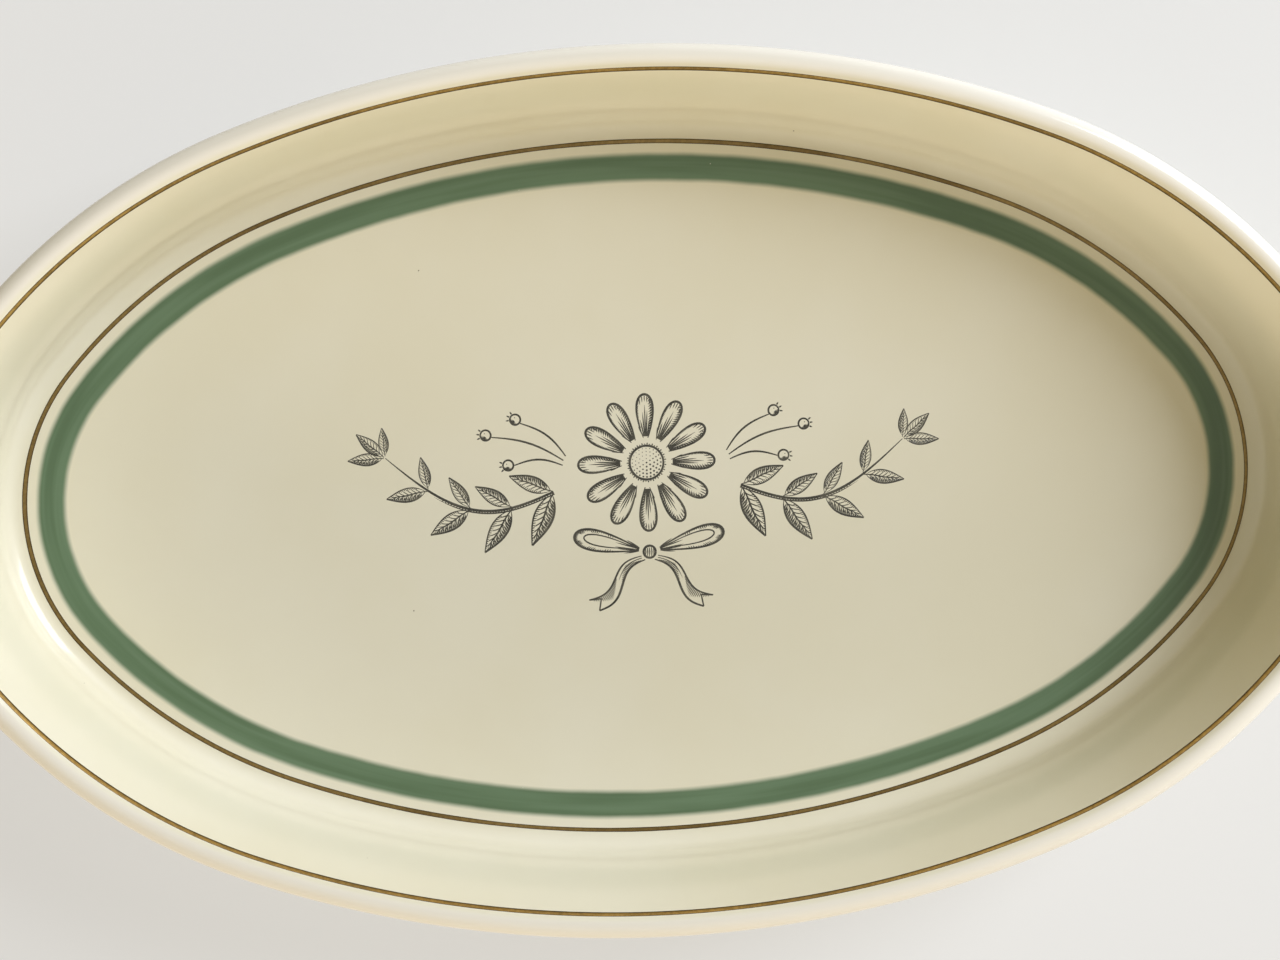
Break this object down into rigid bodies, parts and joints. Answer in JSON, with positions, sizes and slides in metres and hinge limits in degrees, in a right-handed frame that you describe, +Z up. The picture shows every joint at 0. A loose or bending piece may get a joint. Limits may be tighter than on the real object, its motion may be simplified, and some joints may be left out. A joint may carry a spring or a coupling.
{
  "type": "oval serving platter",
  "caption": "Oval glazed platter with a flat floor, a steep wall with a rolled lip and a foot ring, banded in green and gilt round a printed garland.",
  "frame": {"origin": "middle of the standing face, on the surface that the foot ring rests on", "axes": "+X along the length, +Y along the width towards the top of the printed garland, +Z up out of the dish"},
  "size_m": [0.24, 0.146, 0.032],
  "materials": {
    "bare_porcelain": "matte",
    "cream_glaze": "gloss",
    "green_glaze": "gloss",
    "gilding": "satin",
    "print_ink": "gloss"
  },
  "bodies": {
    "root": {"porcelain_body": "bare_porcelain", "glaze_coat": "cream_glaze", "underside_glaze": "cream_glaze", "green_band": "green_glaze", "inner_gold_line": "gilding", "outer_gold_line": "gilding", "print_daisy": "print_ink", "print_left_garland": "print_ink", "print_right_garland": "print_ink", "print_berries": "print_ink", "print_ribbon": "print_ink"}
  },
  "joints": []
}
